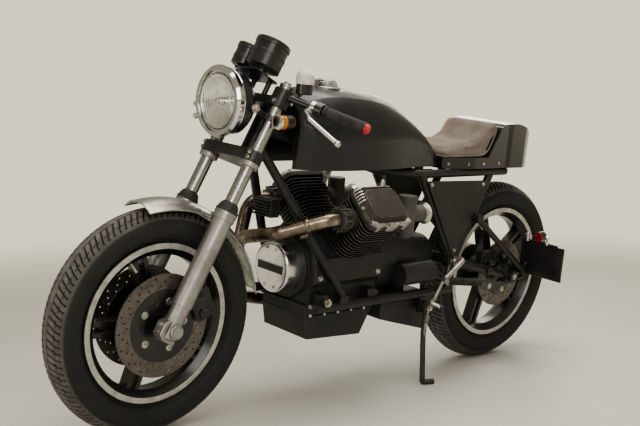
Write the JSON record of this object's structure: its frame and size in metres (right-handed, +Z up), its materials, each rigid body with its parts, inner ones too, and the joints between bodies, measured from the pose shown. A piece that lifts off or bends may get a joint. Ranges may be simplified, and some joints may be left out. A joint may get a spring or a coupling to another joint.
{
  "type": "cafe racer motorcycle",
  "caption": "Cafe racer motorcycle with a transverse air-cooled V-twin, clip-on bars, humped single seat and cast wheels, parked leaning on its side stand.",
  "frame": {"origin": "on the ground, under the middle of the parked machine's box", "axes": "+X forward, +Y to the rider's left, +Z up; the machine leans 8.7 degrees to the left on its side stand"},
  "size_m": [2.1607, 0.7053, 1.1165],
  "materials": {
    "satin_black": "satin black paint",
    "gloss_black": "gloss black paint",
    "cast_alloy": "dull cast alloy",
    "polished_alloy": "polished alloy",
    "bright_steel": "dull bright steel",
    "chrome": "chromium plate",
    "tarnished_steel": "heat tarnished pipe",
    "disc_steel": "worn brake disc steel",
    "tyre": "worn road tyre rubber",
    "rubber": "black rubber",
    "suede": "taupe suede",
    "clear_glass": "fluted lamp glass",
    "amber": "amber lens",
    "red": "red lens",
    "plate": "blank dark plate"
  },
  "bodies": {
    "chassis": {"main_frame": "satin_black", "lower_rails": "satin_black", "crankcase": "satin_black", "alternator_cover": "polished_alloy", "sump": "satin_black", "cylinder_left": "cast_alloy", "cylinder_right": "cast_alloy", "head_left": "cast_alloy", "head_right": "cast_alloy", "rocker_covers": "cast_alloy", "gearbox": "satin_black", "starter_motor": "satin_black", "carburettors": "cast_alloy", "exhaust_pipes": "tarnished_steel", "silencer_box": "satin_black", "fuel_tank": "satin_black", "fuel_cap": "polished_alloy", "seat_cowl": "gloss_black", "seat_pad": "suede", "side_plates": "satin_black", "swingarm": "satin_black", "final_drive": "cast_alloy", "rear_axle": "bright_steel", "rear_caliper": "satin_black", "rear_struts": "satin_black", "rearsets": "cast_alloy", "footpegs": "satin_black", "plate_bracket": "satin_black", "number_plate": "plate", "tail_lamp": "red"},
    "steering": {"fork_sliders": "cast_alloy", "stanchions": "bright_steel", "lower_yoke": "satin_black", "upper_yoke": "satin_black", "front_axle": "bright_steel", "front_calipers": "satin_black", "mudguard": "bright_steel", "headlamp_shell": "satin_black", "headlamp_rim": "chrome", "headlamp_glass": "clear_glass", "gauges": "gloss_black", "handlebars": "gloss_black", "grips": "rubber", "clutch_lever": "polished_alloy", "brake_lever": "polished_alloy", "indicators": "amber"},
    "front_wheel": {"front_wheel": "satin_black", "front_tyre": "tyre", "front_discs": "disc_steel"},
    "rear_wheel": {"rear_wheel": "satin_black", "rear_tyre": "tyre", "rear_disc": "disc_steel"},
    "side_stand": {"side_stand": "satin_black"}
  },
  "joints": [
    {"name": "steering_turn", "type": "hinge", "parent": "chassis", "child": "steering", "pos_m": [0.4351, -0.00212, 0.82469], "axis": [-0.454, 0.1348, 0.8808], "range_deg": [-27, 27]},
    {"name": "front_wheel_spin", "type": "hinge", "parent": "steering", "child": "front_wheel", "pos_m": [0.7565, -0.0792, 0.32092], "axis": [0, 0.9885, -0.1513], "continuous": true},
    {"name": "rear_wheel_spin", "type": "hinge", "parent": "chassis", "child": "rear_wheel", "pos_m": [-0.7435, -0.07724, 0.33377], "axis": [0, 0.9885, -0.1513], "continuous": true},
    {"name": "side_stand_fold", "type": "hinge", "parent": "chassis", "child": "side_stand", "pos_m": [-0.2385, 0.06827, 0.25991], "axis": [0, 0.9885, -0.1513], "range_deg": [0, 95]}
  ]
}
